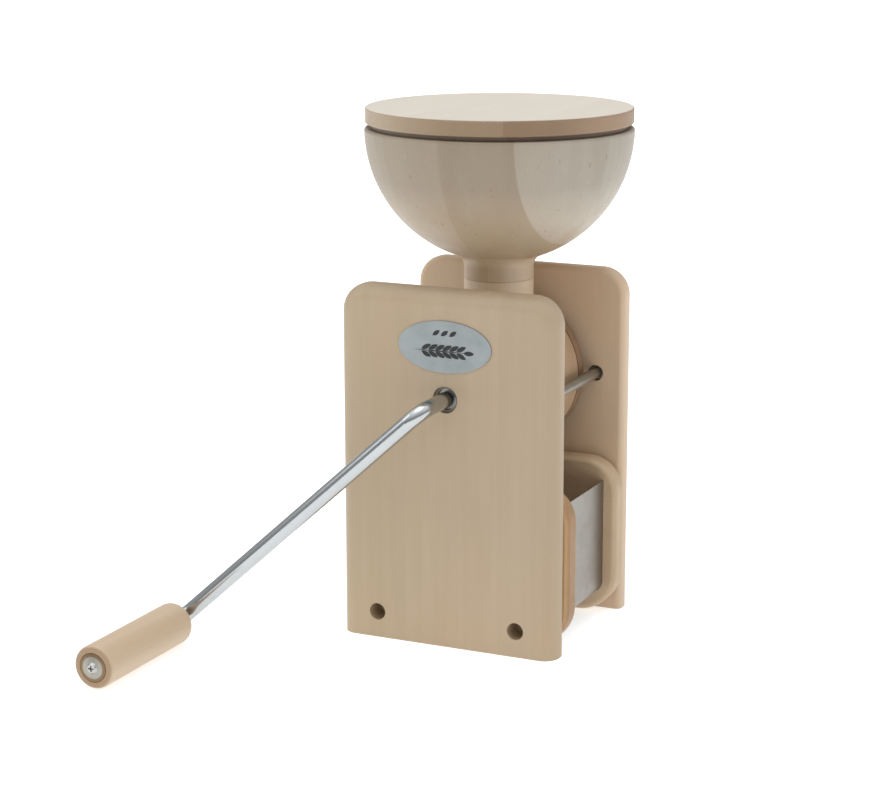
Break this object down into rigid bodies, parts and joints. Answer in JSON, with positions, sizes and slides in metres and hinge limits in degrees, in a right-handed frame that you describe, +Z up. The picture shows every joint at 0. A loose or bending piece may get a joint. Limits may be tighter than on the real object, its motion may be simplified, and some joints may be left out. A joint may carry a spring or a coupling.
{
  "type": "hand-cranked grain mill",
  "caption": "Wooden hand mill: two upright boards, stones in a round housing between them, a lidded bowl hopper, a bent crank with a wooden grip, and a steel-sided flour drawer.",
  "frame": {"origin": "Middle of the front board's underside, on the surface that the mill stands on.", "axes": "+Z up, towards the hopper's lid; -Y out of the front board, towards the crank and the user; +X to the right as seen from the front."},
  "size_m": [0.3052, 0.3889, 0.3943],
  "materials": {
    "board_wood": "satin oiled beech",
    "housing_wood": "satin oiled beech",
    "hopper_wood": "satin pale maple",
    "lid_wood": "satin oiled beech",
    "drawer_wood": "satin oiled beech",
    "grip_wood": "satin oiled beech",
    "label_metal": "brushed satin",
    "fastener_steel": "zinc-plated satin",
    "bush_steel": "turned",
    "tray_steel": "brushed stainless",
    "spring_steel": "drawn wire",
    "crank_chrome": "polished",
    "bronze": "sintered bronze",
    "brass": "turned",
    "carrier_alloy": "cast",
    "grinding_stone": "coarse matt"
  },
  "bodies": {
    "frame": {"front_panel": "board_wood", "back_panel": "board_wood", "label_plate": "label_metal", "tie_rods": "fastener_steel", "threaded_inserts": "brass", "sleeve_nuts": "fastener_steel", "housing_body": "housing_wood", "housing_rear_cover": "housing_wood", "housing_screws": "fastener_steel", "stator_screws": "fastener_steel", "cover_screws": "fastener_steel", "feed_socket": "hopper_wood", "panel_bush": "bush_steel", "stator_plate": "tray_steel", "rear_spacer": "housing_wood", "knob_washer": "fastener_steel", "front_bearing": "bronze", "fixed_stone": "grinding_stone", "pressure_spring": "spring_steel", "anti_turn_pin": "fastener_steel"},
    "sleeve": {"bearing_sleeve": "bush_steel", "rear_bush": "bronze"},
    "axle": {"drive_shaft": "bush_steel", "crank_rod": "crank_chrome", "grip_washer": "fastener_steel", "grip_screw": "fastener_steel", "stone_carrier": "carrier_alloy", "carrier_pin": "fastener_steel", "runner_stone": "grinding_stone", "feed_auger": "tray_steel", "thrust_washer": "bronze", "shaft_nut": "fastener_steel"},
    "grip": {"grip": "grip_wood"},
    "knob": {"adjusting_knob": "grip_wood", "knob_insert": "brass", "knob_cap": "grip_wood"},
    "hopper": {"hopper_bowl": "hopper_wood", "hopper_neck": "hopper_wood"},
    "lid": {"lid": "lid_wood", "lid_plug": "lid_wood"},
    "drawer": {"drawer_front_end": "drawer_wood", "drawer_rear_end": "drawer_wood", "drawer_tray": "tray_steel"}
  },
  "joints": [
    {"name": "sleeve_travel", "type": "slide", "parent": "frame", "child": "sleeve", "axis": [0, 1, 0], "range_m": [-0.0011, 0.00035]},
    {"name": "crank_turn", "type": "hinge", "parent": "sleeve", "child": "axle", "pos_m": [0, 0, 0.1895], "axis": [0, 1, 0], "continuous": true},
    {"name": "grip_spin", "type": "hinge", "parent": "axle", "child": "grip", "pos_m": [-0.18799, -0.14175, 0.01633], "axis": [0, 1, 0], "continuous": true},
    {"name": "knob_turn", "type": "hinge", "parent": "frame", "child": "knob", "pos_m": [0, 0.15475, 0.1895], "axis": [0, 1, 0], "range_deg": [-84, 264]},
    {"name": "hopper_lift", "type": "slide", "parent": "frame", "child": "hopper", "axis": [0, 0, 1], "range_m": [0, 0.05]},
    {"name": "lid_lift", "type": "slide", "parent": "hopper", "child": "lid", "axis": [0, 0, 1], "range_m": [0, 0.06]},
    {"name": "drawer_slide", "type": "slide", "parent": "frame", "child": "drawer", "axis": [1, 0, 0], "range_m": [-0.19, 0.19]}
  ],
  "couplings": [
    {"joint": "knob_turn", "follows": "sleeve_travel", "rad_per_m": -4188}
  ]
}
